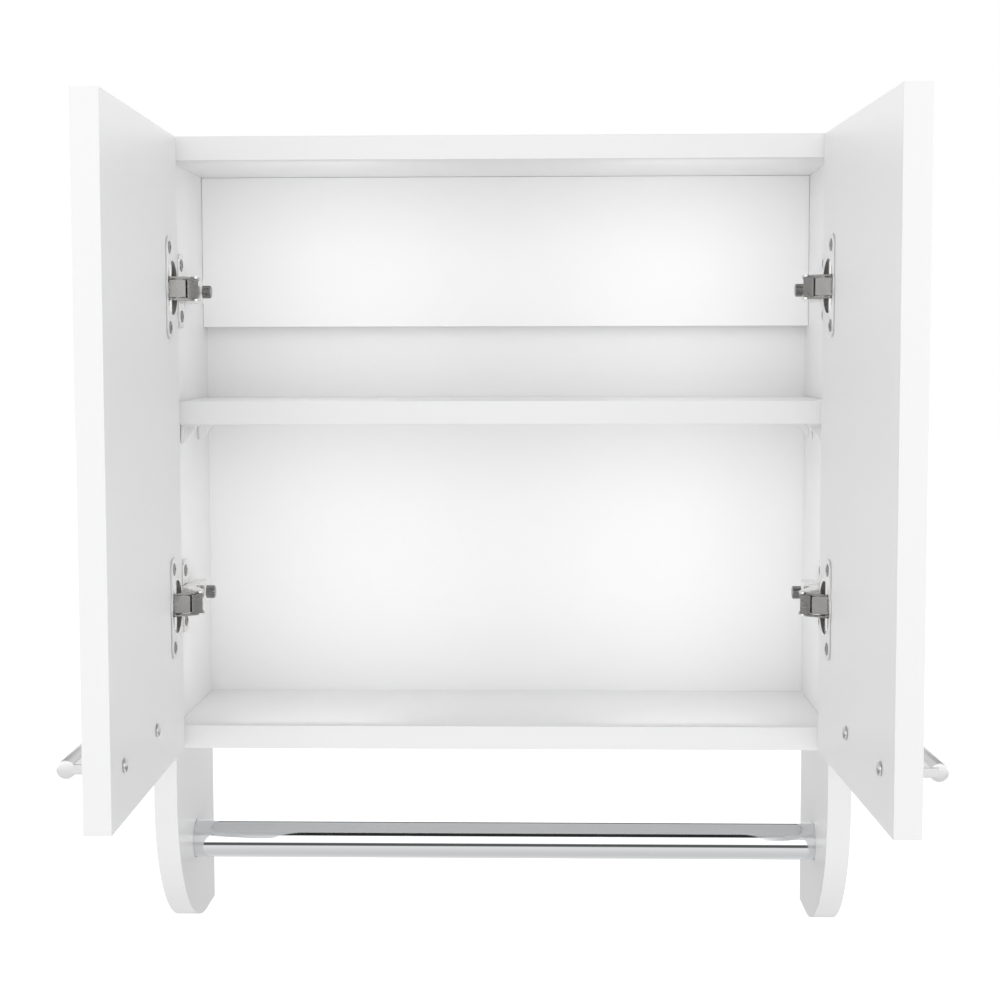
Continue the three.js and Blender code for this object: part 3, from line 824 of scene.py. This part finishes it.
# A white tent: a pale floor far below, one broad light in front and a faint fill on each side of
# each compartment. Gloss sees the tent's own bands, as pairs of height and brightness.
studio = {
    "ambient": 0.79, "backdrop": 1.0,
    "bands": [(0.0, 0.75), (0.23, 1.0), (0.273, 0.12), (0.385, 0.12), (0.43, 1.55),
              (0.757, 1.55), (0.773, 0.03), (0.895, 0.03), (0.93, 0.5)],
    "frontPower": 50, "frontSize": 3.8, "frontPlace": (-0.4, -5.6, 0.7), "frontAim": (0, -0.1, 0),
    "fillPower": 0.037, "fillHeight": 0.15, "fillDepth": 0.004, "fillAside": 0.33,
    "fillShares": (0.3, 0.9),
}
ground = {"height": -1.3, "size": 60, "tones": (0.74, 0.78), "cloudy": (1.5, 2),
          "roughness": 0.9, "specular": 0.1, "glow": 0.6, "pool": (1.8, 3.4)}


def makeFloor(look):
    mesh = bpy.data.meshes.new("floor")
    half = look["size"] / 2
    corners = [(x, y, look["height"]) for x, y in (
        (-half, -half), (half, -half), (half, half), (-half, half))]
    mesh.from_pydata(corners, [], [(0, 1, 2, 3)])
    floor = newObject("floor", mesh)
    material, graph, place = newMaterial("paleFloor")
    tone = graph.noise(place, *look["cloudy"])
    colour = graph.blended(tone, *(grey(shade) for shade in look["tones"]))
    reach = graph.add("ShaderNodeVectorMath", {"operation": "LENGTH"}, {0: place}, "Value")
    near, far = look["pool"]
    glow = graph.add("ShaderNodeMapRange", {"interpolation_type": "SMOOTHSTEP"}, {
        "Value": reach, "From Min": near, "From Max": far})
    constants = {"Roughness": look["roughness"], "Emission Strength": 1.0,
                 "Specular IOR Level": look["specular"]}
    closeMaterial(graph, constants, {
        "Base Color": colour, "Emission Color": graph.blended(glow, grey(0), grey(look["glow"]))})
    mesh.materials.append(material)
    floor.visible_glossy = False  # gloss looks past it to the tent's own bands


def makeWorld(look):
    # an even tent, in which gloss also finds the darker gaps above and below the front light
    world = bpy.data.worlds.new("tent")
    world.use_nodes = True
    graph = Graph(world.node_tree)
    direction = graph.add("ShaderNodeTexCoord", {}, {}, "Generated")
    height = graph.add("ShaderNodeSeparateXYZ", {}, {0: direction}, 2)
    bands = graph.add("ShaderNodeValToRGB", {"stops": look["bands"]}, {"Fac": height * 0.5 + 0.5})
    glossy = graph.add("ShaderNodeLightPath", {}, {}, "Is Glossy Ray")
    seen = graph.add("ShaderNodeLightPath", {}, {}, "Is Camera Ray")
    colour = graph.blended(seen, graph.blended(glossy, grey(look["ambient"]), bands),
                           grey(look["backdrop"]))
    background = graph.add("ShaderNodeBackground", {}, {"Color": colour, "Strength": 1.0})
    graph.add("ShaderNodeOutputWorld", {}, {"Surface": background})
    bpy.context.scene.world = world


def makeLight(name, place, aim, power, width, height):
    data = bpy.data.lights.new(name, "AREA")
    data.shape = "RECTANGLE"
    data.energy, data.size, data.size_y = power, width, height
    light = newObject(name, data)
    light.visible_glossy = False
    light.location = place
    light.rotation_euler = (Vector(aim) - Vector(place)).to_track_quat("-Z", "Y").to_euler()


def makeLights(look):
    makeLight("frontLight", look["frontPlace"], look["frontAim"], look["frontPower"],
              look["frontSize"], look["frontSize"])
    for opening in record["physics"]["openings"]:
        if opening["name"] in ("upper_compartment", "lower_compartment"):
            low, high = (Vector(corner) for corner in opening["box_m"])
            size = high - low
            for side, sign in sides.items():
                place = Vector((sign * size.x * look["fillAside"], low.y + look["fillDepth"],
                                (low.z + high.z) / 2))
                wide, tall = look["fillShares"]
                makeLight(f"{opening['name']}_{side}_fill", place, place + Vector((0, 1, 0)),
                          look["fillPower"] * size.z / look["fillHeight"],
                          size.x * wide, size.z * tall)


lens = {"place": (0.0320, -1.3266, 0.0564), "yaw": 0.027, "pitch": -0.076, "roll": -0.002,
        "focal": 67.63, "sensor": 36, "clip": (0.01, 100)}


def makeCamera(look):
    data = bpy.data.cameras.new("camera")
    data.sensor_width = look["sensor"]
    data.lens = look["focal"]
    data.clip_start, data.clip_end = look["clip"]
    camera = newObject("camera", data)
    yaw, pitch = look["yaw"], look["pitch"]
    forward = Vector((-math.sin(yaw) * math.cos(pitch), math.cos(yaw) * math.cos(pitch),
                      math.sin(pitch)))
    turn = forward.to_track_quat("-Z", "Y").to_matrix().to_4x4()
    roll = Matrix.Rotation(look["roll"], 4, "Z")
    camera.matrix_world = Matrix.Translation(look["place"]) @ turn @ roll
    bpy.context.scene.camera = camera


makeFloor(ground)
makeWorld(studio)
makeLights(studio)
makeCamera(lens)
bpy.context.scene.view_settings.view_transform = "Standard"
print("stage, light and camera ready")
